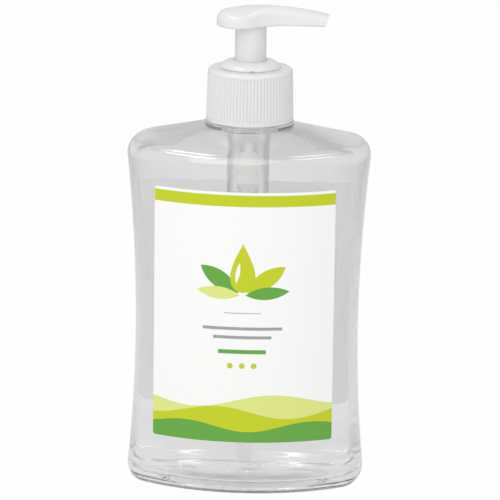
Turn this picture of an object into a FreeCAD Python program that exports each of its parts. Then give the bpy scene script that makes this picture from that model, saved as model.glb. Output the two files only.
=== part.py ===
import FreeCAD, Part
import math
import os

# Pump oil bottle: an oval bottle of massage oil with a screw-on dispensing pump.
# Millimetres, +Z up, origin in the middle of the standing plane.
# The front label faces -Y and the spout points along +X.

# Bottle body, outside
waist_width = 85.2
waist_height = 60.0
shoulder_width = 93.6
base_width = 91.8
body_depth = 60.0
panel_radius = 72.0
side_radius = 44.0
corner_radius = 9.0
wall_top = 132.0
wall_sections = 7
heel_round = 5.0
heel_limit = 0.85
shoulder_round = 6.0

# Hipped shoulder and neck platform
roof_rise = 6.3
platform_margin = 0.5
platform_height = 1.6
platform_round = 0.4
hip_angle = 30.0
hip_spread = 4.0

# Bottle walls and base
wall = 1.4
base_thickness = 4.5
inner_heel_round = 6.0
pushup_length = 58.0
pushup_width = 33.0
pushup_depth = 2.2
pushup_slope = 8.0
gate_radius = 3.0
gate_height = 0.6

# Neck finish and its screw thread
neck_bore_radius = 10.9
neck_wall = 1.85
neck_height = 16.05
thread_pitch = 4.23
thread_turns = 1.25
thread_depth = 1.1
thread_root_width = 1.7
thread_crest_width = 0.9
thread_sink = 0.3
thread_clearance = 0.3
thread_top_margin = 2.2

# Oil and labels
oil_film = 0.15
label_width = 68.0
label_height = 97.0
label_bottom = 21.5
label_thickness = 0.15
label_seat_gap = 0.05
label_corner = 0.8
back_label_height = 88.0
back_label_bottom = 26.0

# Closure
closure_gap = 0.6
closure_wall = 2.0
closure_draft = 0.4
closure_band = 1.5
closure_ribs = 76
rib_height = 0.35
closure_round = 1.6
closure_lip = 0.2
closure_top_wall = 1.8
closure_play = 0.15
closure_hole_gap = 0.3

# Pump housing
gasket_thickness = 0.9
flange_thickness = 1.5
flange_inset = 0.35
rim_wall = 1.1
rim_rise = 0.8
cup_gap = 0.6
cup_wall = 1.1
cup_length = 17.5
taper_length = 12.2
cylinder_bore = 5.9
cylinder_wall = 1.0
funnel_height = 5.0
socket_wall = 1.4
socket_length = 11.0
throat_radius = 1.5
throat_length = 2.0
housing_gap = 0.3

# Lock collar on top of the closure
collar_overhang = 2.0
collar_land = 1.2
collar_snap_wall = 2.1
collar_height = 2.65
collar_edge = 0.3
collar_dome = 0.45
collar_skirt_wall = 1.4
collar_skirt_length = 12.0
collar_snap_gap = 0.1
vent_width = 1.6
vent_height = 0.4
vent_offset = 1.5

# Actuator
stroke = 10.5
valve_travel = 1.0
head_clearance = 1.6
skirt_radius = 5.95
skirt_wall = 1.25
skirt_play = 0.25
skirt_engagement = 11.6
socket_depth = 10.0
head_pad_radius = 9.3
head_back = 13.1
head_blend = 20.0
head_crown = 7.9
crown_offset = 4.5
crown_back_radius = 58.0
crown_front_radius = 110.0
crown_arch = 14.0
head_draft = 0.9
head_round = 3.6
head_edge = 0.7
head_wall = 1.5
head_pocket = 3.6
spout_reach = 29.6
spout_tip_width = 8.6
spout_slant = 1.3
spout_lift = 0.8
lift_start = 0.0
lift_end = 12.0
spout_bore_radius = 1.3
spout_bore_height = 3.0

# Plunger, spring and inlet valve
stem_radius = 3.25
stem_bore = 1.9
stem_fit = 0.05
stem_rise = 0.5
stem_plug_gap = 1.5
stem_stop_radius = 4.4
stem_stop_height = 2.0
piston_drop = 2.0
piston_height = 7.0
piston_fit = 0.08
piston_lip = 0.8
piston_lip_height = 1.8
piston_stem_gap = 0.2
plug_radius = 5.1
plug_height = 3.0
plug_boss_gap = 0.75
plug_boss_height = 2.0
plug_shank_length = 8.0
plug_port_width = 1.4
valve_gap = 0.1
spring_length = 21.0
spring_radius = 4.6
spring_wire = 0.9
spring_turns = 7
spring_seat_gap = 0.05
cage_rim = 1.4
cage_bore = 2.0
cage_slot = 1.2
cage_slot_depth = 2.5
cage_gap = 0.15
ball_radius = 2.38
ball_travel = 1.5
ball_gap = 0.02
tube_radius = 3.1
tube_bore = 2.1
tube_fit = 0.05
tube_floor_gap = 3.5

# Radii worked out from the sizes above, from the neck out to the closure and from the actuator out
half_depth = body_depth / 2
neck_radius = neck_bore_radius + neck_wall
cup_radius = neck_bore_radius - cup_gap
flange_radius = neck_radius - flange_inset
closure_bore = neck_radius + thread_depth + thread_clearance
closure_radius = closure_bore + closure_wall + rib_height
platform_radius = closure_radius + platform_margin
collar_bore = skirt_radius + skirt_play
collar_snap_radius = collar_bore + collar_snap_wall
rim_bore = collar_snap_radius + collar_snap_gap
rim_radius = rim_bore + rim_wall
collar_radius = rim_radius + collar_overhang
collar_top_radius = collar_bore + collar_land
cylinder_radius = cylinder_bore + cylinder_wall
ball_room_radius = tube_radius + tube_fit
socket_radius = ball_room_radius + socket_wall
plug_boss_radius = spring_radius - spring_wire / 2 - plug_boss_gap

# Levels stacked from the bottle up to the actuator
platform_foot = wall_top + roof_rise
platform_top = platform_foot + platform_height
neck_top = platform_top + neck_height
flange_bottom = neck_top + gasket_thickness
flange_top = flange_bottom + flange_thickness
closure_bottom = platform_top + closure_gap
closure_ceiling = flange_top + closure_play
closure_top = closure_ceiling + closure_top_wall
collar_seat = closure_top + closure_play
collar_top = collar_seat + collar_height
rim_top = collar_seat + rim_rise
head_under = collar_top + stroke + valve_travel + head_clearance
head_top = head_under + head_crown

# Levels inside the pump, stacked from the cup down to the dip tube
cup_bottom = flange_bottom - cup_length
bore_top = cup_bottom - taper_length
piston_top = bore_top - piston_drop
piston_bottom = piston_top - piston_height
plug_top = piston_bottom - valve_gap
plug_bottom = plug_top - plug_height
spring_seat = plug_bottom - spring_length
funnel_top = spring_seat - cage_rim
funnel_bottom = funnel_top - funnel_height
ball_center = funnel_bottom - ball_travel - ball_radius
seat_apex = ball_center - (ball_radius + ball_gap) * math.sqrt(2)
seat_level = seat_apex + throat_radius
socket_top = seat_level - throat_length
socket_bottom = socket_top - socket_length
tube_bottom = base_thickness + tube_floor_gap
stem_bottom = plug_top + stem_plug_gap
stem_top = head_under + stem_rise
neck_thread_bottom = neck_top - thread_top_margin - thread_pitch * thread_turns
closure_thread_bottom = neck_thread_bottom - thread_pitch / 2

Z_AXIS = FreeCAD.Vector(0, 0, 1)
ORIGIN = FreeCAD.Vector(0, 0, 0)


def turned(points):
    """Solid of revolution about Z from a closed outline of (radius, height) corners."""
    corners = [FreeCAD.Vector(r, 0, z) for r, z in points]
    outline = Part.makePolygon(corners + corners[:1])
    return Part.Face(outline).revolve(ORIGIN, Z_AXIS, 360)


def rod(radius, bottom, top):
    """Upright cylinder on the Z axis."""
    return Part.makeCylinder(radius, top - bottom, FreeCAD.Vector(0, 0, bottom))


def level_edges(shape, z):
    """Edges of a shape that lie at one height."""
    return [e for e in shape.Edges if abs(e.BoundBox.ZMin - z) < 1e-4 and abs(e.BoundBox.ZMax - z) < 1e-4]


def arcs_wire(arcs, z):
    """Level wire of arcs, each given as (x, y, radius, start angle, end angle) in radians."""
    edges = []
    for x, y, radius, start, end in arcs:
        angles = (start, (start + end) / 2, end)
        points = [FreeCAD.Vector(x + radius * math.cos(a), y + radius * math.sin(a), z) for a in angles]
        edges.append(Part.Arc(*points).toShape())
    return Part.Wire(edges)


def half_width(z):
    """The sides are drawn in to the waist along two parabolas."""
    if z < waist_height:
        share = (waist_height - z) / waist_height
        return (waist_width + (base_width - waist_width) * share ** 2) / 2
    share = (z - waist_height) / (wall_top - waist_height)
    return (waist_width + (shoulder_width - waist_width) * share ** 2) / 2


def body_wire(z, inset):
    """Oval of eight tangent arcs at a height, counter-clockwise from the +X side, drawn in by inset."""
    panel_y = panel_radius - half_depth
    side_x = half_width(z) - side_radius
    panel_reach = panel_radius - corner_radius
    side_reach = side_radius - corner_radius
    span = math.hypot(side_x, panel_y)
    along = (panel_reach ** 2 - side_reach ** 2 + span ** 2) / (2 * span)
    across = math.sqrt(panel_reach ** 2 - along ** 2)
    corner_x = (along * side_x + across * panel_y) / span
    corner_y = panel_y - (along * panel_y - across * side_x) / span
    side = math.atan2(corner_y, corner_x - side_x)
    panel = math.atan2(corner_y - panel_y, corner_x)
    side_r = side_radius - inset
    panel_r = panel_radius - inset
    corner_r = corner_radius - inset
    return arcs_wire([
        (side_x, 0, side_r, side, -side),
        (corner_x, -corner_y, corner_r, -side, -panel),
        (0, -panel_y, panel_r, -panel, math.pi + panel),
        (-corner_x, -corner_y, corner_r, math.pi + panel, math.pi + side),
        (-side_x, 0, side_r, math.pi + side, math.pi - side),
        (-corner_x, corner_y, corner_r, math.pi - side, math.pi - panel),
        (0, panel_y, panel_r, math.pi - panel, 2 * math.pi + panel),
        (corner_x, corner_y, corner_r, 2 * math.pi + panel, 2 * math.pi + side),
    ], z)


def platform_wire(radius, z):
    """Circle at the foot of the neck, split where the hip lines of the shoulder reach it."""
    low = math.radians(hip_angle - hip_spread / 2)
    high = math.radians(hip_angle + hip_spread / 2)
    stops = [-low, low, high, math.pi - high, math.pi - low, math.pi + low, math.pi + high,
             2 * math.pi - high, 2 * math.pi - low]
    return arcs_wire([(0, 0, radius, a, b) for a, b in zip(stops, stops[1:])], z)


def body_walls(bottom, top, inset):
    """Waisted oval column between two heights."""
    step = (top - bottom) / (wall_sections - 1)
    wires = [body_wire(bottom + step * i, inset) for i in range(wall_sections)]
    return Part.makeLoft(wires, True)


def heel_radius(wanted, inset):
    """Heel rounding, kept under what the upright corners leave room for."""
    return min(wanted, heel_limit * (corner_radius - inset))


def hipped_body(bottom, drop, heel):
    """Column with its hipped shoulder, drawn in and lowered by drop, with rounded heel and shoulder."""
    top = wall_top - drop
    walls = body_walls(bottom, top, drop)
    platform = platform_wire(platform_radius - drop, platform_foot - drop)
    roof = Part.makeLoft([body_wire(top, drop), platform], True, True)
    body = walls.fuse(roof)
    body = body.makeFillet(shoulder_round - drop, level_edges(body, top))
    return body.makeFillet(heel_radius(heel, drop), level_edges(body, bottom))


def screw_ridge(root, crest, bottom):
    """One rib of screw thread from its root radius to its crest radius, wound up from bottom."""
    profile = [(root, -thread_root_width / 2), (crest, -thread_crest_width / 2),
               (crest, thread_crest_width / 2), (root, thread_root_width / 2)]
    corners = [FreeCAD.Vector(r, 0, bottom + z) for r, z in profile]
    section = Part.makePolygon(corners + corners[:1])
    path = Part.makeHelix(thread_pitch, thread_pitch * thread_turns, min(root, crest))
    path.translate(FreeCAD.Vector(0, 0, bottom))
    return Part.Wire(path.Edges).makePipeShell([section], True, True)


def push_up():
    """Hollow under the base: an oval frustum with a small gate mark left standing in it."""
    wires = []
    for inset, z in ((0, 0), (pushup_slope, pushup_depth)):
        oval = Part.Ellipse(FreeCAD.Vector(0, 0, z), pushup_length / 2 - inset, pushup_width / 2 - inset)
        wires.append(Part.Wire(oval.toShape()))
    gate = rod(gate_radius, pushup_depth - gate_height, pushup_depth)
    return Part.makeLoft(wires, True, True).cut(gate)


def bottle():
    """Clear oval bottle with a threaded neck on a round platform."""
    platform = rod(platform_radius, platform_foot, platform_top)
    platform = platform.makeFillet(platform_round, level_edges(platform, platform_top))
    neck = rod(neck_radius, platform_foot, neck_top)
    outside = hipped_body(0, 0, heel_round).fuse([platform, neck])
    inside = hipped_body(base_thickness, wall, inner_heel_round)
    bore = rod(neck_bore_radius, platform_foot - 2 * wall, neck_top)
    ridge = screw_ridge(neck_radius - thread_sink, neck_radius + thread_depth, neck_thread_bottom)
    return outside.cut([inside, bore, push_up()]).fuse(ridge)


def pump_room():
    """The space that the pump takes up inside the bottle, with its clearance."""
    gap = housing_gap
    return turned([
        (0, neck_top), (cup_radius + gap, neck_top), (cup_radius + gap, cup_bottom - gap),
        (cylinder_radius + gap, bore_top - gap), (cylinder_radius + gap, funnel_top - gap),
        (socket_radius + gap, funnel_bottom - gap), (socket_radius + gap, socket_bottom - gap),
        (tube_radius + gap, socket_bottom - gap), (tube_radius + gap, tube_bottom - gap),
        (0, tube_bottom - gap),
    ])


def oil_fill():
    """The oil, up to the foot of the neck, with the pump's space left out."""
    return hipped_body(base_thickness + oil_film, wall + oil_film, inner_heel_round).cut(pump_room())


def label(bottom, height):
    """Paper label wrapped on the front panel."""
    center = FreeCAD.Vector(0, panel_radius - half_depth, bottom)
    inner = Part.makeCylinder(panel_radius + label_seat_gap, height, center)
    outer = Part.makeCylinder(panel_radius + label_seat_gap + label_thickness, height, center)
    corner = FreeCAD.Vector(-label_width / 2, -body_depth, bottom)
    blank = Part.makeBox(label_width, body_depth, height, corner)
    blank = blank.makeFillet(label_corner, [e for e in blank.Edges if e.BoundBox.YLength > half_depth])
    return outer.cut(inner).common(blank)


def closure():
    """Ribbed screw cap with a hole for the pump's rim and a thread inside."""
    top_radius = closure_radius - closure_draft
    rib_bottom = closure_bottom + closure_band
    rib_top = closure_top - closure_round - closure_lip
    shell = turned([(0, closure_bottom), (closure_radius, closure_bottom), (closure_radius, rib_bottom),
                    (closure_radius - rib_height, rib_bottom), (top_radius - rib_height, rib_top),
                    (top_radius, rib_top), (top_radius, closure_top), (0, closure_top)])
    shell = shell.makeFillet(closure_round, level_edges(shell, closure_top))
    wires = []
    for radius, z in ((closure_radius, rib_bottom), (top_radius, rib_top)):
        wires.append(rib_wire(radius, z))
    shell = shell.fuse(Part.makeLoft(wires, True, True))
    bore = rod(closure_bore, closure_bottom, closure_ceiling)
    hole = rod(rim_radius + closure_hole_gap, closure_ceiling, closure_top)
    ridge = screw_ridge(closure_bore + thread_sink, closure_bore - thread_depth, closure_thread_bottom)
    return shell.cut([bore, hole]).fuse(ridge)


def rib_wire(radius, z):
    """Scalloped ring, one outward arc per rib."""
    pitch = 2 * math.pi / closure_ribs
    root = radius - rib_height
    edges = []
    for i in range(closure_ribs):
        spots = ((root, i * pitch), (radius, (i + 0.5) * pitch), (root, (i + 1) * pitch))
        points = [FreeCAD.Vector(r * math.cos(a), r * math.sin(a), z) for r, a in spots]
        edges.append(Part.Arc(*points).toShape())
    return Part.Wire(edges)


def neck_gasket():
    """Flat sealing ring between the neck and the housing's flange."""
    return turned([(neck_bore_radius, neck_top), (flange_radius, neck_top),
                   (flange_radius, flange_bottom), (neck_bore_radius, flange_bottom)])


def pump_housing():
    """Stepped cylinder in the neck: rim, flange, cup, bore, funnel, ball seat and tube socket."""
    cup_bore = cup_radius - cup_wall
    return turned([
        (rim_bore, rim_top), (rim_radius, rim_top), (rim_radius, flange_top), (flange_radius, flange_top),
        (flange_radius, flange_bottom), (cup_radius, flange_bottom), (cup_radius, cup_bottom),
        (cylinder_radius, bore_top), (cylinder_radius, funnel_top), (socket_radius, funnel_bottom),
        (socket_radius, socket_bottom), (ball_room_radius, socket_bottom), (ball_room_radius, socket_top),
        (throat_radius, socket_top), (throat_radius, seat_level),
        (ball_room_radius, seat_apex + ball_room_radius), (ball_room_radius, funnel_bottom),
        (cylinder_bore, funnel_top), (cylinder_bore, bore_top), (cup_bore, cup_bottom),
        (cup_bore, flange_bottom), (rim_bore, flange_bottom),
    ])


def lock_collar():
    """Domed collar snapped into the housing's rim, which guides the actuator and holds the closure down."""
    skirt_top = flange_bottom
    snap = collar_snap_radius
    groove = rim_radius + collar_snap_gap
    groove_top = rim_top + collar_snap_gap
    skirt_radius_out = collar_bore + collar_skirt_wall
    corners = [FreeCAD.Vector(r, 0, z) for r, z in (
        (collar_radius, collar_seat + collar_edge), (collar_radius, collar_seat), (groove, collar_seat),
        (groove, groove_top), (snap, groove_top), (snap, skirt_top), (skirt_radius_out, skirt_top),
        (skirt_radius_out, collar_top - collar_skirt_length),
        (collar_bore, collar_top - collar_skirt_length),
        (collar_bore, collar_top), (collar_top_radius, collar_top))]
    rise = collar_height - collar_edge
    reach = collar_radius - collar_top_radius
    middle = FreeCAD.Vector(collar_top_radius + reach / 2 + collar_dome,
                            0, collar_seat + collar_edge + rise / 2 + collar_dome)
    dome = Part.Arc(corners[-1], middle, corners[0]).toShape()
    outline = Part.Wire(Part.makePolygon(corners).Edges + [dome])
    collar = Part.Face(outline).revolve(ORIGIN, Z_AXIS, 360)
    vent = Part.makeBox(vent_width, collar_radius, vent_height,
                        FreeCAD.Vector(vent_offset - vent_width / 2, -collar_radius - groove, collar_seat))
    return collar.cut(vent)


def head_wire(inset, z):
    """Plan of the head: a round thumb pad that runs into a straight spout through two hollow curves."""
    center = head_pad_radius - head_back
    radius = head_pad_radius - inset
    half = spout_tip_width / 2 - inset
    blend = head_blend + inset
    blend_x = center + math.sqrt((radius + blend) ** 2 - (half + blend) ** 2)
    touch = math.atan2(half + blend, blend_x - center)
    hollow = (math.pi + touch + 3 * math.pi / 2) / 2
    corners = {}
    for side in (-1, 1):
        corners[side] = [FreeCAD.Vector(x, side * y, z) for x, y in (
            (spout_reach, half), (blend_x, half),
            (blend_x + blend * math.cos(hollow), half + blend + blend * math.sin(hollow)),
            (center + radius * math.cos(touch), radius * math.sin(touch)))]
    left = corners[1]
    right = corners[-1]
    back = FreeCAD.Vector(center - radius, 0, z)
    return Part.Wire([Part.makeLine(left[0], left[1]), Part.Arc(*left[1:]).toShape(),
                      Part.Arc(left[3], back, right[3]).toShape(), Part.Arc(*right[:0:-1]).toShape(),
                      Part.makeLine(right[1], right[0]), Part.makeLine(right[0], left[0])])


def crown(x):
    """Height of the head's top along its length: two arcs that meet level at the crown."""
    radius = crown_back_radius if x < crown_offset else crown_front_radius
    return head_top - radius + math.sqrt(radius ** 2 - (x - crown_offset) ** 2)


def crown_section(x):
    """Cross-section under the head's arched top at one place along it, wider than the head."""
    half = head_pad_radius + head_wall
    side = crown(x) - crown_arch + math.sqrt(crown_arch ** 2 - half ** 2)
    low = head_under - head_wall
    outline = ((-half, side), (0, crown(x)), (half, side), (half, low), (-half, low))
    spots = [FreeCAD.Vector(x, y, z) for y, z in outline]
    edges = [Part.Arc(*spots[:3]).toShape()]
    for start, end in zip(spots[2:], spots[3:] + spots[:1]):
        edges.append(Part.makeLine(start, end))
    return Part.Wire(edges)


def arched_top():
    """Everything under the head's top, which is arched along and across."""
    back_x = -head_back - head_wall
    front_x = spout_reach + head_wall
    places = [back_x, (back_x + crown_offset) / 2, crown_offset, (crown_offset + front_x) / 2, front_x]
    return Part.makeLoft([crown_section(x) for x in places], True)


def head_profile():
    """Side view of the head's underside and slanted tip, as a slab wider than the head."""
    back_x = -head_back - head_wall
    spout_under = head_under + spout_lift
    high = head_top + head_wall
    outline = ((back_x, head_under), (lift_start, head_under), (lift_end, spout_under),
               (spout_reach - spout_slant, spout_under), (spout_reach, crown(spout_reach)),
               (spout_reach, high), (back_x, high))
    corners = [FreeCAD.Vector(x, -head_back, z) for x, z in outline]
    face = Part.Face(Part.makePolygon(corners + corners[:1]))
    return face.extrude(FreeCAD.Vector(0, 2 * head_back, 0))


def head():
    """Thumb pad and spout with soft flanks and a sharp tip, cored out underneath."""
    foot = head_wire(0, head_under)
    column = Part.makeLoft([foot, head_wire(head_draft, head_top + head_wall)], True, True)
    block = column.common(head_profile()).common(arched_top())
    top = max(block.Faces, key=lambda face: face.CenterOfMass.z)
    flanks = [e for e in top.Edges if e.BoundBox.XMin < spout_reach - head_edge]
    block = block.makeFillet(head_round, flanks)
    pad_rim = [e for e in level_edges(block, head_under) if e.BoundBox.XMin < -head_back + head_edge]
    block = block.makeFillet(head_edge, pad_rim)
    pocket = Part.makeLoft([head_wire(head_wall, head_under),
                            head_wire(head_wall + head_draft, head_under + head_pocket)], True, True)
    pad = rod(head_back, head_under, head_top)
    keep = rod(skirt_radius, head_under, head_top)
    channel = Part.makeBox(spout_reach, spout_tip_width, head_crown,
                           FreeCAD.Vector(0, -spout_tip_width / 2, head_under))
    return block.cut(pocket.common(pad).cut([keep, channel]))


def actuator():
    """Head, spout and guide skirt in one piece, with the stem's socket and the oil's way out."""
    skirt_bottom = collar_top - skirt_engagement
    spout_z = head_under + spout_bore_height
    body = head().fuse(rod(skirt_radius, skirt_bottom, head_under + head_pocket))
    hollow = rod(skirt_radius - skirt_wall, skirt_bottom, stem_top - socket_depth)
    socket = rod(stem_radius + stem_fit, skirt_bottom, stem_top)
    riser = rod(stem_bore, skirt_bottom, spout_z + spout_bore_radius)
    spout = Part.makeCylinder(spout_bore_radius, spout_reach, FreeCAD.Vector(0, 0, spout_z),
                              FreeCAD.Vector(1, 0, 0))
    return body.cut([hollow, socket, riser, spout])


def stem():
    """Tube from the actuator's socket down through the piston, with a stop above it."""
    stop_bottom = piston_top + valve_travel + valve_gap
    stop_top = stop_bottom + stem_stop_height
    return turned([(stem_bore, stem_bottom), (stem_radius, stem_bottom), (stem_radius, stop_bottom),
                   (stem_stop_radius, stop_bottom), (stem_stop_radius, stop_top), (stem_radius, stop_top),
                   (stem_radius, stem_top), (stem_bore, stem_top)])


def piston():
    """Soft cup that slides in the housing's bore, with a sealing lip at each end."""
    lip = cylinder_bore - piston_fit
    body = lip - piston_lip
    hole = stem_radius + piston_stem_gap
    return turned([(hole, piston_bottom), (lip, piston_bottom), (lip, piston_bottom + piston_lip_height),
                   (body, piston_bottom + piston_lip_height), (body, piston_top - piston_lip_height),
                   (lip, piston_top - piston_lip_height), (lip, piston_top), (hole, piston_top)])


def valve_plug():
    """Disc that shuts the piston from below, on a shank with open sides that turns in the stem."""
    shank = stem_bore - stem_fit
    boss_bottom = plug_bottom - plug_boss_height
    shank_top = plug_top + plug_shank_length
    plug = turned([(0, boss_bottom), (plug_boss_radius, boss_bottom), (plug_boss_radius, plug_bottom),
                   (plug_radius, plug_bottom), (plug_radius, plug_top), (shank, plug_top),
                   (shank, shank_top), (0, shank_top)])
    ports = []
    for side in (-1, 1):
        corner = FreeCAD.Vector(side * shank - plug_port_width / 2, -shank, plug_top)
        ports.append(Part.makeBox(plug_port_width, 2 * shank, plug_shank_length, corner))
    return plug.cut(ports)


def biarc(start, start_way, end, end_way):
    """Two tangent arcs from one point and direction to another."""
    chord = end - start
    ways = start_way + end_way
    a = 2 * (1 - start_way.dot(end_way))
    b = chord.dot(ways)
    length = (math.sqrt(b * b + a * chord.dot(chord)) - b) / a
    first = start + start_way * length
    second = end - end_way * length
    joint = (first + second) * 0.5
    edges = []
    for head_point, corner, tail_point in ((start, first, joint), (joint, second, end)):
        middle = (head_point + tail_point) * 0.5
        half_chord = (tail_point - head_point).Length / 2
        height = (corner - middle).Length
        bulge = half_chord * math.tan(math.atan2(height, half_chord) / 2)
        crest = middle + (corner - middle) * (bulge / height)
        edges.append(Part.Arc(head_point, crest, tail_point).toShape())
    return edges


def spring():
    """Return spring between the ball cage and the valve plug, one round wire."""
    low = spring_seat + spring_wire / 2 + spring_seat_gap
    high = plug_bottom - spring_wire / 2 - spring_seat_gap
    quarters = 4 * spring_turns
    climb = (high - low) / (2 * math.pi * spring_turns)
    spots = []
    for i in range(quarters + 1):
        angle = math.pi / 2 * i
        out_x = spring_radius * math.cos(angle)
        out_y = spring_radius * math.sin(angle)
        spot = FreeCAD.Vector(out_x, out_y, low + climb * angle)
        way = FreeCAD.Vector(-out_y, out_x, climb)
        spots.append((spot, way.normalize()))
    edges = []
    for (start, start_way), (end, end_way) in zip(spots, spots[1:]):
        edges += biarc(start, start_way, end, end_way)
    section = Part.Wire(Part.Circle(spots[0][0], spots[0][1], spring_wire / 2).toShape())
    print("spring turn gap", round((high - low) / spring_turns - spring_wire, 3))
    return Part.Wire(edges).makePipeShell([section], True)


def ball_cage():
    """Spring seat wedged in the housing's funnel, with a slotted underside that stops the ball."""
    outer = cylinder_bore - cage_gap
    foot = ball_room_radius - cage_gap
    cage = turned([(cage_bore, funnel_bottom), (foot, funnel_bottom), (outer, funnel_top),
                   (outer, spring_seat), (cage_bore, spring_seat)])
    slots = []
    for turn in (0, 90):
        slot = Part.makeBox(2 * foot, cage_slot, cage_slot_depth,
                            FreeCAD.Vector(-foot, -cage_slot / 2, funnel_bottom))
        slots.append(slot.rotate(ORIGIN, Z_AXIS, turn))
    return cage.cut(slots)


def inlet_ball():
    """Check ball resting in its conical seat."""
    return Part.makeSphere(ball_radius, FreeCAD.Vector(0, 0, ball_center))


def dip_tube():
    """Suction tube pushed into the housing's socket, ending just above the floor."""
    return turned([(tube_bore, tube_bottom), (tube_radius, tube_bottom),
                   (tube_radius, socket_top), (tube_bore, socket_top)])


def main():
    os.makedirs("parts", exist_ok=True)
    nodes = {
        "bottle": bottle(),
        "oil_fill": oil_fill(),
        "front_label": label(label_bottom, label_height),
        "back_label": label(back_label_bottom, back_label_height).rotate(ORIGIN, Z_AXIS, 180),
        "closure": closure(),
        "neck_gasket": neck_gasket(),
        "pump_housing": pump_housing(),
        "lock_collar": lock_collar(),
        "actuator": actuator(),
        "stem": stem(),
        "piston": piston(),
        "valve_plug": valve_plug(),
        "spring": spring(),
        "ball_cage": ball_cage(),
        "inlet_ball": inlet_ball(),
        "dip_tube": dip_tube(),
    }
    for name, shape in nodes.items():
        print(name, "solids", len(shape.Solids), "valid", shape.isValid(), "volume", round(shape.Volume, 1))
        shape.exportStep(f"parts/{name}.step")


main()
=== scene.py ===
import math
import bmesh
import bpy
from mathutils import Matrix, Vector


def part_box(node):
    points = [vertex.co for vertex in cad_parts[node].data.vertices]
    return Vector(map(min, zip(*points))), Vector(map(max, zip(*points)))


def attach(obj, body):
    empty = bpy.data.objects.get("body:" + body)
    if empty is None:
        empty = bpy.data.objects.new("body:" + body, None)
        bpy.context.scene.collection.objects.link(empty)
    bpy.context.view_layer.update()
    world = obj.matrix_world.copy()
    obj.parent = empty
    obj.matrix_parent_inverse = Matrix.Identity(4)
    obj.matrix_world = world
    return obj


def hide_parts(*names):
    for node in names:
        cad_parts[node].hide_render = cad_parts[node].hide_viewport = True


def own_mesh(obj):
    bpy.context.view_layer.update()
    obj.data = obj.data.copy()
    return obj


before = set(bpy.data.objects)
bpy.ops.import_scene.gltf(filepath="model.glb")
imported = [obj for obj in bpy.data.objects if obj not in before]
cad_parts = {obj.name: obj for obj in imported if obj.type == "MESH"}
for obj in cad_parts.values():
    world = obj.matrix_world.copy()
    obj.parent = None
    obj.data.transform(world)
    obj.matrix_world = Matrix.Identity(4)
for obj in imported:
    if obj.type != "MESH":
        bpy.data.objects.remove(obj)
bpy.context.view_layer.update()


# The bottle: clear copolyester, blown and polished, with a thick base and a hipped shoulder.
# Its walls are glossy and a little uneven, and the plastic greys where the light runs along it.
def new_finish(name):
    material = bpy.data.materials.new(name)
    material.use_nodes = True
    tree = material.node_tree
    return material, tree, tree.nodes["Principled BSDF"], tree.nodes["Material Output"]


def add_node(tree, kind, **settings):
    node = tree.nodes.new(kind)
    for name, value in settings.items():
        setattr(node, name, value)
    return node


def feed(tree, target, source):
    """Links a socket, or sets plain values on the input."""
    if hasattr(source, "is_linked"):
        tree.links.new(source, target)
    else:
        target.default_value = source


def calc(tree, operation, *values):
    node = add_node(tree, "ShaderNodeMath", operation=operation)
    for target, value in zip(node.inputs, values):
        feed(tree, target, value)
    return node.outputs[0]


def dress(node, material):
    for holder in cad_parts[node].material_slots:
        holder.material = material


def moulded_skin():
    """Group for the skin of a moulding: slow flow waves and fine grain, in its height, shine and shade."""
    grain_height = 0.1
    shade_swing = 0.03
    group = bpy.data.node_groups.new("moulded skin", "ShaderNodeTree")
    for kind, names in (("INPUT", ("Wave Scale", "Grain Scale", "Roughness", "Spread")),
                        ("OUTPUT", ("Roughness", "Height", "Shade"))):
        for name in names:
            group.interface.new_socket(name, in_out=kind, socket_type="NodeSocketFloat")
    into = add_node(group, "NodeGroupInput")
    out = add_node(group, "NodeGroupOutput")
    place = add_node(group, "ShaderNodeTexCoord").outputs["Object"]
    wave = add_node(group, "ShaderNodeTexNoise")
    grain = add_node(group, "ShaderNodeTexNoise")
    for noise, scale, detail in ((wave, "Wave Scale", 1.0), (grain, "Grain Scale", 3.0)):
        feed(group, noise.inputs["Vector"], place)
        feed(group, noise.inputs["Scale"], into.outputs[scale])
        noise.inputs["Detail"].default_value = detail
    uneven = calc(group, "SUBTRACT", calc(group, "ADD", wave.outputs[0], grain.outputs[0]), 1.0)
    rough = calc(group, "MULTIPLY_ADD", uneven, into.outputs["Spread"], into.outputs["Roughness"])
    height = calc(group, "MULTIPLY_ADD", grain.outputs[0], grain_height, wave.outputs[0])
    feed(group, out.inputs["Roughness"], rough)
    feed(group, out.inputs["Height"], height)
    feed(group, out.inputs["Shade"], calc(group, "MULTIPLY_ADD", uneven, shade_swing, 1.0))
    return group


skin_group = moulded_skin()


def add_skin(tree, shader, wave_scale, grain_scale, roughness, spread, strength, depth):
    """Places the skin group, feeds roughness and a bump, and returns its shade."""
    skin = add_node(tree, "ShaderNodeGroup", node_tree=skin_group)
    skin.inputs["Wave Scale"].default_value = wave_scale
    skin.inputs["Grain Scale"].default_value = grain_scale
    skin.inputs["Roughness"].default_value = roughness
    skin.inputs["Spread"].default_value = spread
    feed(tree, shader.inputs["Roughness"], skin.outputs["Roughness"])
    bump = add_node(tree, "ShaderNodeBump")
    bump.inputs["Strength"].default_value = strength
    bump.inputs["Distance"].default_value = depth
    feed(tree, bump.inputs["Height"], skin.outputs["Height"])
    feed(tree, shader.inputs["Normal"], bump.outputs["Normal"])
    return skin.outputs["Shade"]


def let_light_in(tree, shader, output, tint, share=1.0):
    """A share of the light from lamps and dull surfaces passes the wall unbent, so what is inside is lit."""
    path = add_node(tree, "ShaderNodeLightPath")
    passing = calc(tree, "MAXIMUM", path.outputs["Is Shadow Ray"], path.outputs["Is Diffuse Ray"])
    clear = add_node(tree, "ShaderNodeBsdfTransparent")
    clear.inputs["Color"].default_value = (*tint, 1)
    mix = add_node(tree, "ShaderNodeMixShader")
    feed(tree, mix.inputs[0], calc(tree, "MULTIPLY", passing, share))
    feed(tree, mix.inputs[1], shader.outputs[0])
    feed(tree, mix.inputs[2], clear.outputs[0])
    feed(tree, output.inputs["Surface"], mix.outputs[0])


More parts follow.
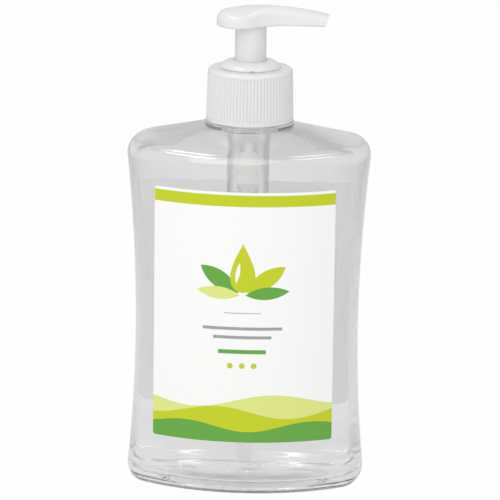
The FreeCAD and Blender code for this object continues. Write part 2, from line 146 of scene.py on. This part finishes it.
def soak_up(tree, output, color, density):
    """The body of the material takes a little light along its way."""
    volume = add_node(tree, "ShaderNodeVolumeAbsorption")
    volume.inputs["Color"].default_value = (*color, 1)
    volume.inputs["Density"].default_value = density
    feed(tree, output.inputs["Volume"], volume.outputs[0])


clear_plastic, tree, shader, output = new_finish("clear copolyester")
shader.inputs["Base Color"].default_value = (0.998, 0.998, 0.998, 1)
shader.inputs["Transmission Weight"].default_value = 0.94
shader.inputs["IOR"].default_value = 1.57
add_skin(tree, shader, wave_scale=35, grain_scale=900, roughness=0.02, spread=0.02,
         strength=0.12, depth=0.0002)
let_light_in(tree, shader, output, (0.998, 0.998, 0.998))
soak_up(tree, output, (0.5, 0.5, 0.5), density=2)
dress("bottle", clear_plastic)


# The oil: a clear, almost colourless massage oil that fills the bottle up to its neck and wets the walls.
# It is taken from the fill's solid, closed round the pump that it wets, and pressed out into the walls.
oil_press = 0.00035
pump_reach = 0.0108
join_distance = 1e-6
crease_angle = math.radians(35)


def copy_solid(name, node):
    """New piece from a node's mesh, with its points joined, open for changes."""
    piece = bpy.data.objects.new(name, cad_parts[node].data.copy())
    bpy.context.scene.collection.objects.link(piece)
    piece.data.materials.clear()
    shape = bmesh.new()
    shape.from_mesh(piece.data)
    bmesh.ops.remove_doubles(shape, verts=shape.verts, dist=join_distance)
    return piece, shape


def close_solid(piece, shape):
    """Writes the changes back, smooth all over but for the creases."""
    shape.to_mesh(piece.data)
    shape.free()
    normals = piece.data.attributes.get("custom_normal")
    if normals:
        piece.data.attributes.remove(normals)
    piece.data.shade_smooth()
    piece.data.set_sharp_from_angle(angle=crease_angle)


oil, shape = copy_solid("oil", "oil_fill")
pump_hollow = [f for f in shape.faces if all(point.co.xy.length < pump_reach for point in f.verts)]
bmesh.ops.delete(shape, geom=pump_hollow, context="FACES")
bmesh.ops.holes_fill(shape, edges=[edge for edge in shape.edges if edge.is_boundary], sides=0)
shape.normal_update()
for point in shape.verts:
    point.co += point.normal * oil_press
close_solid(oil, shape)
clear_oil, tree, shader, output = new_finish("clear massage oil")
shader.inputs["Base Color"].default_value = (0.995, 0.995, 0.995, 1)
shader.inputs["Transmission Weight"].default_value = 1.0
shader.inputs["IOR"].default_value = 1.47
shader.inputs["Roughness"].default_value = 0.0
let_light_in(tree, shader, output, (0.998, 0.998, 0.998))
soak_up(tree, output, (0.8, 0.8, 0.79), density=1)
oil.data.materials.append(clear_oil)
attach(oil, "bottle")
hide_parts("oil_fill")


# The labels: white satin film, printed and stuck on the curved front and rear panels.
# The print is a plain drop, leaves, rules and waves in lime and green, drawn by the material in millimetres.
lime = (0.571, 0.651, 0.004)
pale_lime = (0.76, 0.82, 0.25)
leaf_green = (0.13, 0.40, 0.05)
rule_grey = (0.36, 0.37, 0.38)
film_white = (0.975, 0.975, 0.97)
film_back = (0.85, 0.85, 0.845)
panel_center = 42.0
print_face = 72.12
print_edge = 0.04
mm_per_metre = 1000.0


def object_place(tree):
    """The X, Y and Z sockets of the place in the part's own frame."""
    split = add_node(tree, "ShaderNodeSeparateXYZ")
    feed(tree, split.inputs[0], add_node(tree, "ShaderNodeTexCoord").outputs["Object"])
    return split.outputs


def ramp(tree, value, low, high, start=0.0, end=1.0):
    """Goes smoothly from start where the value is low to end where it is high."""
    rise = add_node(tree, "ShaderNodeMapRange", interpolation_type="SMOOTHSTEP")
    feed(tree, rise.inputs["Value"], value)
    rise.inputs["From Min"].default_value = low
    rise.inputs["From Max"].default_value = high
    rise.inputs["To Min"].default_value = start
    rise.inputs["To Max"].default_value = end
    return rise.outputs[0]


def blend(tree, share, first, second):
    """Goes from the first colour to the second, each a socket or plain values."""
    mix = add_node(tree, "ShaderNodeMix", data_type="RGBA")
    feed(tree, mix.inputs["Factor"], share)
    for target, color in ((mix.inputs[6], first), (mix.inputs[7], second)):
        feed(tree, target, (*color, 1) if isinstance(color, tuple) else color)
    return mix.outputs[2]


def inside(tree, distance):
    """1 where a signed distance is below zero, with a soft printed edge."""
    return ramp(tree, distance, print_edge, -print_edge)


def bar(tree, x, z, middle, height, half_length, half_height):
    across = calc(tree, "SUBTRACT", calc(tree, "ABSOLUTE", calc(tree, "SUBTRACT", x, middle)), half_length)
    along = calc(tree, "SUBTRACT", calc(tree, "ABSOLUTE", calc(tree, "SUBTRACT", z, height)), half_height)
    return inside(tree, calc(tree, "MAXIMUM", across, along))


def disc(tree, x, z, middle, height, radius):
    """Signed distance from the edge of a disc."""
    across = calc(tree, "POWER", calc(tree, "SUBTRACT", x, middle), 2.0)
    along = calc(tree, "POWER", calc(tree, "SUBTRACT", z, height), 2.0)
    return calc(tree, "SUBTRACT", calc(tree, "SQRT", calc(tree, "ADD", across, along)), radius)


def leaf(tree, x, z, foot, tip, half_width):
    """Pointed oval between two points: where two discs overlap."""
    length = math.dist(foot, tip)
    radius = (length ** 2 / 4 + half_width ** 2) / (2 * half_width)
    across = ((foot[1] - tip[1]) / length, (tip[0] - foot[0]) / length)
    sides = []
    for side in (-1, 1):
        middle = (foot[0] + tip[0]) / 2 + side * across[0] * (radius - half_width)
        height = (foot[1] + tip[1]) / 2 + side * across[1] * (radius - half_width)
        sides.append(disc(tree, x, z, middle, height, radius))
    return inside(tree, calc(tree, "MAXIMUM", *sides))


def drop(tree, x, z, height, half_width, length):
    """Oil drop standing on its round end at a height."""
    foot_power = 0.5
    tip_power = 1.15
    fullest = foot_power / (foot_power + tip_power)
    swell = half_width / (fullest ** foot_power * (1 - fullest) ** tip_power)
    share = calc(tree, "DIVIDE", calc(tree, "SUBTRACT", z, height), length)
    share = calc(tree, "MINIMUM", calc(tree, "MAXIMUM", share, 0.0), 1.0)
    outline = calc(tree, "MULTIPLY", calc(tree, "POWER", share, foot_power),
                   calc(tree, "POWER", calc(tree, "SUBTRACT", 1.0, share), tip_power))
    return inside(tree, calc(tree, "SUBTRACT", calc(tree, "ABSOLUTE", x),
                             calc(tree, "MULTIPLY", outline, swell)))


def wave(tree, x, z, height, rise, pitch, start):
    """All below a waving line."""
    swing = calc(tree, "SINE", calc(tree, "MULTIPLY_ADD", x, 2 * math.pi / pitch, start))
    return inside(tree, calc(tree, "SUBTRACT", calc(tree, "SUBTRACT", z, height),
                             calc(tree, "MULTIPLY", swing, rise)))


def finish_label(node, outward, design):
    """Prints a design on the face of a label, and leaves its back and edges plain."""
    material, tree, shader, _ = new_finish(node.replace("_", " "))
    place = object_place(tree)
    x = calc(tree, "MULTIPLY", place["X"], -outward * mm_per_metre)
    y = calc(tree, "MULTIPLY", place["Y"], outward * mm_per_metre)
    z = calc(tree, "MULTIPLY", place["Z"], mm_per_metre)
    color = film_white
    for mask, tone in design(tree, x, z):
        color = blend(tree, mask, color, tone)
    face = calc(tree, "GREATER_THAN", disc(tree, x, y, 0.0, -panel_center, print_face), 0.0)
    add_skin(tree, shader, wave_scale=120, grain_scale=2500, roughness=0.38, spread=0.06,
             strength=0.05, depth=0.0001)
    feed(tree, shader.inputs["Base Color"], blend(tree, face, film_back, color))
    dress(node, material)


def front_design(tree, x, z):
    yield bar(tree, x, z, 0, 115.2, 40, 2.2), lime
    yield wave(tree, x, z, 37.5, 2.6, 62, 0.4), pale_lime
    yield wave(tree, x, z, 33.0, 2.4, 54, 2.6), lime
    yield wave(tree, x, z, 27.4, 1.8, 47, 4.4), leaf_green
    yield leaf(tree, x, z, (-1.5, 80.0), (-16.0, 90.0), 3.2), leaf_green
    yield leaf(tree, x, z, (1.5, 80.0), (16.0, 90.0), 3.2), lime
    yield leaf(tree, x, z, (-1.0, 79.0), (-17.5, 80.5), 2.4), pale_lime
    yield leaf(tree, x, z, (1.0, 79.0), (17.5, 80.5), 2.4), leaf_green
    yield drop(tree, x, z, 80.0, 4.753, 19.0), lime
    yield leaf(tree, x, z, (-2.6, 83.5), (-1.2, 91.5), 0.8), film_white
    yield bar(tree, x, z, 0, 72.0, 7.0, 0.15), rule_grey
    for height, half_length in ((66.0, 15.0), (62.6, 11.0)):
        yield bar(tree, x, z, 0, height, half_length, 0.6), rule_grey
    yield bar(tree, x, z, 0, 57.0, 9.0, 0.8), leaf_green
    for side in (-1, 0, 1):
        yield inside(tree, disc(tree, x, z, 4.5 * side, 51.5, 1.1)), lime


def back_design(tree, x, z):
    full_half = 26.0
    yield bar(tree, x, z, 0, 110.6, 40, 1.6), lime
    yield wave(tree, x, z, 30.5, 1.4, 47, 1.2), lime
    for row in range(14):
        half_length = full_half - (3.5 if row % 5 == 4 else 0.9 * (row % 3))
        yield bar(tree, x, z, half_length - full_half, 102.0 - 4.2 * row, half_length, 0.45), rule_grey


finish_label("front_label", -1, front_design)
finish_label("back_label", 1, back_design)


# The pump's works: natural milky polypropylene mouldings that hang in the neck.
# Oil wets the housing's outside and the dip tube, so light bends there only as much as the two differ.
# The housing's cylinder has painted shade: its colour darkens towards the edges, where the wall turns away
# from the view and the light runs a long way through it.
dry_ior = 1.49
wet_ior = 1.014
milky = (0.95, 0.955, 0.955)
milky_in_edge_shade = (0.6, 0.605, 0.605)
cylinder_top = 0.127
cup_blend = 0.0005
edge_shade_start = 0.12
edge_shade_full = 0.5


def milky_plastic(name, ior, clear):
    material, tree, shader, output = new_finish(name)
    shader.inputs["Base Color"].default_value = (*milky, 1)
    shader.inputs["Transmission Weight"].default_value = clear
    shader.inputs["IOR"].default_value = ior
    add_skin(tree, shader, wave_scale=90, grain_scale=1400, roughness=0.2, spread=0.06,
             strength=0.1, depth=0.0002)
    let_light_in(tree, shader, output, (0.98, 0.98, 0.98))
    return material


dry_plastic = milky_plastic("natural polypropylene", dry_ior, 0.88)
wet_plastic = milky_plastic("wet polypropylene", wet_ior, 0.9)
for node in ("ball_cage", "stem", "valve_plug"):
    dress(node, dry_plastic)
dress("dip_tube", wet_plastic)
edge_shaded_plastic = milky_plastic("wet cylinder polypropylene with painted edge shade", wet_ior, 0.9)
tree = edge_shaded_plastic.node_tree
# Painted shade: below the cup, the cylinder's colour goes darker where its wall faces away from the camera.
facing = add_node(tree, "ShaderNodeLayerWeight").outputs["Facing"]
below_cup = ramp(tree, object_place(tree)["Z"], cylinder_top + cup_blend, cylinder_top - cup_blend)
painted_edge_shade = calc(tree, "MULTIPLY", ramp(tree, facing, edge_shade_start, edge_shade_full), below_cup)
feed(tree, tree.nodes["Principled BSDF"].inputs["Base Color"], blend(tree, painted_edge_shade, milky, milky_in_edge_shade))

housing, shape = copy_solid("housing", "pump_housing")
close_solid(housing, shape)
housing.data.materials.append(dry_plastic)
housing.data.materials.append(edge_shaded_plastic)
oil_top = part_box("oil_fill")[1][2]
for face in housing.data.polygons:
    outward = face.normal.xy.dot(face.center.xy) > 0 or face.normal.z < -0.5
    face.material_index = int(outward and face.center.z < oil_top)
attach(housing, "pump")
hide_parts("pump_housing")


# The piston is soft white polyethylene, and the neck gasket white foamed polyethylene.
# Both are dull, and hidden unless the bottle is seen from close by.
def add_color(tree, shader, color, shade):
    """Feeds the colour, as uneven as the skin's shade."""
    tone = add_node(tree, "ShaderNodeMix", data_type="RGBA", blend_type="MULTIPLY")
    tone.inputs["Factor"].default_value = 1.0
    tone.inputs[6].default_value = (*color, 1)
    feed(tree, tone.inputs[7], shade)
    feed(tree, shader.inputs["Base Color"], tone.outputs[2])


for name, node, color, roughness, grain in (
        ("soft polyethylene", "piston", (0.82, 0.82, 0.79), 0.5, 1200),
        ("foamed polyethylene", "neck_gasket", (0.86, 0.86, 0.85), 0.75, 3500)):
    material, tree, shader, _ = new_finish(name)
    shade = add_skin(tree, shader, wave_scale=150, grain_scale=grain, roughness=roughness, spread=0.1,
                     strength=0.25, depth=0.0002)
    add_color(tree, shader, color, shade)
    dress(node, material)


# The return spring and the inlet ball: drawn stainless wire and a polished stainless ball.
# Both have fine marks.
steel, tree, shader, _ = new_finish("stainless steel")
shader.inputs["Base Color"].default_value = (0.62, 0.62, 0.63, 1)
shader.inputs["Metallic"].default_value = 1.0
add_skin(tree, shader, wave_scale=300, grain_scale=5000, roughness=0.24, spread=0.12,
         strength=0.15, depth=0.0001)
dress("inlet_ball", steel)
coil, shape = copy_solid("coil", "spring")
close_solid(coil, shape)
coil.data.materials.append(steel)
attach(coil, "pump")
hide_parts("spring")
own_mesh(coil)


# Closure, lock collar and actuator: white polypropylene, satin from the mould.
# The closure screws on the neck, the collar snaps into the housing, and the head is pushed on the stem.
white_plastic, tree, shader, output = new_finish("white polypropylene")
shade = add_skin(tree, shader, wave_scale=60, grain_scale=1800, roughness=0.2, spread=0.06,
                 strength=0.08, depth=0.00005)
add_color(tree, shader, (0.82, 0.82, 0.818), shade)
let_light_in(tree, shader, output, (1, 1, 1), share=0.5)
for node in ("closure", "lock_collar", "actuator"):
    dress(node, white_plastic)


# The studio: a plain pale floor, a white surround, a large soft lamp in front and two bright cards overhead.
# Seen in or through the glossy pieces, the floor glows less to the sides, which shades the bottle's edges.
# The camera stands about a metre and a half off, a little to the right and well above the bottle.
floor_half = 6.0
glow_middle = 0.76
glow_aside = 0.4
glow_near = 0.12
glow_far = 0.55
glow_in_glass = 0.65
glow_in_view = 0.96
surround_light = 0.66
surround_in_glass = 0.06


def ray_kinds(tree):
    """Masks for what the camera sees straight on, and for what it sees in or through glossy pieces."""
    path = add_node(tree, "ShaderNodeLightPath")
    glass = calc(tree, "MAXIMUM", path.outputs["Is Glossy Ray"], path.outputs["Is Transmission Ray"])
    return path.outputs["Is Camera Ray"], glass


floor_mesh = bpy.data.meshes.new("floor")
shape = bmesh.new()
bmesh.ops.create_grid(shape, x_segments=1, y_segments=1, size=floor_half)
shape.to_mesh(floor_mesh)
shape.free()
floor = bpy.data.objects.new("floor", floor_mesh)
bpy.context.scene.collection.objects.link(floor)
pale, tree, shader, output = new_finish("pale floor")
shader.inputs["Base Color"].default_value = (0.9, 0.9, 0.9, 1)
shader.inputs["Roughness"].default_value = 0.9
in_view, in_glass = ray_kinds(tree)
aside = calc(tree, "ABSOLUTE", object_place(tree)["X"])
falling = ramp(tree, aside, glow_near, glow_far, glow_middle, glow_aside)
glow = add_node(tree, "ShaderNodeEmission")
glow.inputs["Color"].default_value = (1, 1, 1, 1)
feed(tree, glow.inputs["Strength"], calc(tree, "MULTIPLY_ADD", in_glass, falling, in_view))
mix = add_node(tree, "ShaderNodeMixShader")
feed(tree, mix.inputs[0], calc(tree, "MULTIPLY_ADD", in_glass, glow_in_glass,
                               calc(tree, "MULTIPLY", in_view, glow_in_view)))
feed(tree, mix.inputs[1], shader.outputs[0])
feed(tree, mix.inputs[2], glow.outputs[0])
feed(tree, output.inputs["Surface"], mix.outputs[0])
floor_mesh.materials.append(pale)

world = bpy.data.worlds.new("studio")
bpy.context.scene.world = world
world.use_nodes = True
tree = world.node_tree
in_view, in_glass = ray_kinds(tree)
surround = tree.nodes["Background"]
surround.inputs["Color"].default_value = (1, 1, 1, 1)
lit = calc(tree, "MULTIPLY_ADD", in_glass, surround_in_glass, surround_light)
feed(tree, surround.inputs["Strength"], calc(tree, "MAXIMUM", in_view, lit))


def soft_lamp(name, place, target, width, height, power):
    lamp = bpy.data.lights.new(name, "AREA")
    lamp.shape = "RECTANGLE"
    lamp.size = width
    lamp.size_y = height
    lamp.energy = power
    holder = bpy.data.objects.new(name, lamp)
    bpy.context.scene.collection.objects.link(holder)
    holder.location = place
    holder.rotation_euler = (Vector(target) - Vector(place)).to_track_quat("-Z", "Y").to_euler()
    return holder


front_lamp = soft_lamp("front lamp", (-0.3, -1.2, 1.35), (0, 0, 0.1), width=1.5, height=1.6, power=13.5)
front_lamp.visible_glossy = False
for name, place, width, power in (("left card", (-0.51, -0.21, 1.14), 0.7, 2.5),
                                  ("right card", (0.5, -0.24, 1.15), 0.5, 1.3)):
    card = soft_lamp(name, place, (0, -0.03, 0.13), width, height=0.15, power=power)
    card.visible_diffuse = False

view_azimuth = math.radians(3.3)
view_distance = 1.476
view_height = 0.4544
view_pitch = math.radians(13.9)
view_roll = math.radians(0.8)
focal_pixels = 3983
photo_width = 500
axis_shift = -0.0008
camera_data = bpy.data.cameras.new("camera")
camera_data.sensor_width = 36.0
camera_data.lens = focal_pixels / photo_width * camera_data.sensor_width
camera = bpy.data.objects.new("camera", camera_data)
bpy.context.scene.collection.objects.link(camera)
stand = Vector((math.sin(view_azimuth), -math.cos(view_azimuth), 0)) * view_distance
right = Vector((math.cos(view_azimuth), math.sin(view_azimuth), 0))
turn = Matrix.Rotation(view_azimuth, 4, "Z") @ Matrix.Rotation(math.pi / 2 - view_pitch, 4, "X")
turn = turn @ Matrix.Rotation(view_roll, 4, "Z")
camera.matrix_world = Matrix.Translation(stand - right * axis_shift + Vector((0, 0, view_height))) @ turn
bpy.context.scene.camera = camera

bounces = 32
scene = bpy.context.scene
scene.view_settings.view_transform = "Standard"
scene.cycles.max_bounces = bounces
scene.cycles.transmission_bounces = bounces
scene.cycles.transparent_max_bounces = bounces
